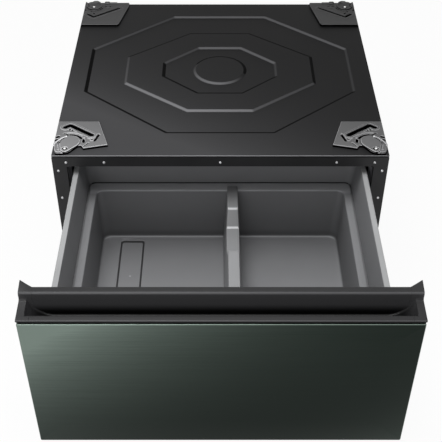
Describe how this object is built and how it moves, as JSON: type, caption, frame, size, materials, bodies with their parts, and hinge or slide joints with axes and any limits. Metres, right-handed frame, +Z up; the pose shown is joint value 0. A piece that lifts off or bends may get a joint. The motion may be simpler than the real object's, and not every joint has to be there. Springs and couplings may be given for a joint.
{
  "type": "washer pedestal drawer",
  "caption": "Low steel pedestal for a front-loading washer or dryer, with foot holders on its deck and one wide storage drawer on side slides.",
  "frame": {"origin": "on the floor, in the middle of the box round the pedestal with its drawer open", "axes": "+Z up, +Y from the drawer front to the back panel, +X to the right as seen from the front"},
  "size_m": [0.686, 1.083, 0.3775],
  "materials": {
    "black_sheet": "satin black powder coat",
    "dark_zinc": "dull dark galvanised sheet",
    "bright_zinc": "bright zinc plate",
    "pale_enamel": "pale grey enamel",
    "grey_plastic": "fine-grained grey moulding",
    "pale_plastic": "fine-grained light grey moulding",
    "black_plastic": "satin black moulding",
    "green_steel": "dark green steel, brushed across",
    "cast_grey": "dark grey glass-filled moulding",
    "black_rubber": "matt black rubber"
  },
  "bodies": {
    "cabinet": {"top_plate": "black_sheet", "front_frame": "black_sheet", "back_panel": "black_sheet", "base_rail_front": "dark_zinc", "base_rail_rear": "dark_zinc", "deck_stiffener_front": "dark_zinc", "deck_stiffener_rear": "dark_zinc", "lock_nut_front_left": "bright_zinc", "corner_holder_front_left": "cast_grey", "keeper_pivot_front_left": "bright_zinc", "lock_nut_front_right": "bright_zinc", "corner_holder_front_right": "cast_grey", "keeper_pivot_front_right": "bright_zinc", "lock_nut_rear_left": "bright_zinc", "corner_holder_rear_left": "cast_grey", "keeper_pivot_rear_left": "bright_zinc", "lock_nut_rear_right": "bright_zinc", "corner_holder_rear_right": "cast_grey", "keeper_pivot_rear_right": "bright_zinc", "side_panel_left": "black_sheet", "slide_carrier_left": "dark_zinc", "slide_outer_left": "bright_zinc", "side_panel_right": "black_sheet", "slide_carrier_right": "dark_zinc", "slide_outer_right": "bright_zinc"},
    "drawer": {"front_panel": "green_steel", "inner_front": "black_plastic", "handle": "black_plastic", "drawer_bin": "grey_plastic", "drawer_rear_panel": "pale_enamel", "drawer_side_left": "pale_enamel", "slide_inner_left": "bright_zinc", "handle_cap_left": "black_plastic", "bumper_left": "black_rubber", "drawer_side_right": "pale_enamel", "slide_inner_right": "bright_zinc", "handle_cap_right": "black_plastic", "bumper_right": "black_rubber"},
    "divider": {"bin_divider": "pale_plastic"},
    "slide_middle_left": {"slide_middle_left": "bright_zinc"},
    "slide_middle_right": {"slide_middle_right": "bright_zinc"},
    "keeper_front_left": {"foot_keeper_front_left": "cast_grey"},
    "keeper_front_right": {"foot_keeper_front_right": "cast_grey"},
    "keeper_rear_left": {"foot_keeper_rear_left": "cast_grey"},
    "keeper_rear_right": {"foot_keeper_rear_right": "cast_grey"},
    "foot_front_left": {"levelling_foot_front_left": "black_rubber"},
    "foot_front_right": {"levelling_foot_front_right": "black_rubber"},
    "foot_rear_left": {"levelling_foot_rear_left": "black_rubber"},
    "foot_rear_right": {"levelling_foot_rear_right": "black_rubber"}
  },
  "joints": [
    {"name": "drawer_slide", "type": "slide", "parent": "cabinet", "child": "drawer", "axis": [0, -1, 0], "range_m": [-0.369, 0]},
    {"name": "slide_middle_left_slide", "type": "slide", "parent": "cabinet", "child": "slide_middle_left", "axis": [0, -1, 0], "range_m": [-0.1845, 0]},
    {"name": "slide_middle_right_slide", "type": "slide", "parent": "cabinet", "child": "slide_middle_right", "axis": [0, -1, 0], "range_m": [-0.1845, 0]},
    {"name": "divider_lift", "type": "slide", "parent": "drawer", "child": "divider", "axis": [0, 0, 1], "range_m": [0, 0.07]},
    {"name": "keeper_front_left_turn", "type": "hinge", "parent": "cabinet", "child": "keeper_front_left", "pos_m": [-0.316, -0.0865, 0.368], "axis": [0, 0, -1], "range_deg": [0, 35]},
    {"name": "keeper_front_right_turn", "type": "hinge", "parent": "cabinet", "child": "keeper_front_right", "pos_m": [0.316, -0.0865, 0.368], "axis": [0, 0, 1], "range_deg": [0, 35]},
    {"name": "keeper_rear_left_turn", "type": "hinge", "parent": "cabinet", "child": "keeper_rear_left", "pos_m": [-0.317, 0.5105, 0.368], "axis": [0, 0, -1], "range_deg": [0, 35]},
    {"name": "keeper_rear_right_turn", "type": "hinge", "parent": "cabinet", "child": "keeper_rear_right", "pos_m": [0.317, 0.5105, 0.368], "axis": [0, 0, 1], "range_deg": [0, 35]},
    {"name": "foot_front_left_screw", "type": "slide", "parent": "cabinet", "child": "foot_front_left", "axis": [0, 0, 1], "range_m": [-0.015, 0]},
    {"name": "foot_front_right_screw", "type": "slide", "parent": "cabinet", "child": "foot_front_right", "axis": [0, 0, 1], "range_m": [-0.015, 0]},
    {"name": "foot_rear_left_screw", "type": "slide", "parent": "cabinet", "child": "foot_rear_left", "axis": [0, 0, 1], "range_m": [-0.015, 0]},
    {"name": "foot_rear_right_screw", "type": "slide", "parent": "cabinet", "child": "foot_rear_right", "axis": [0, 0, 1], "range_m": [-0.015, 0]}
  ],
  "couplings": [
    {"joint": "slide_middle_left_slide", "follows": "drawer_slide", "ratio": 0.5},
    {"joint": "slide_middle_right_slide", "follows": "drawer_slide", "ratio": 0.5}
  ]
}
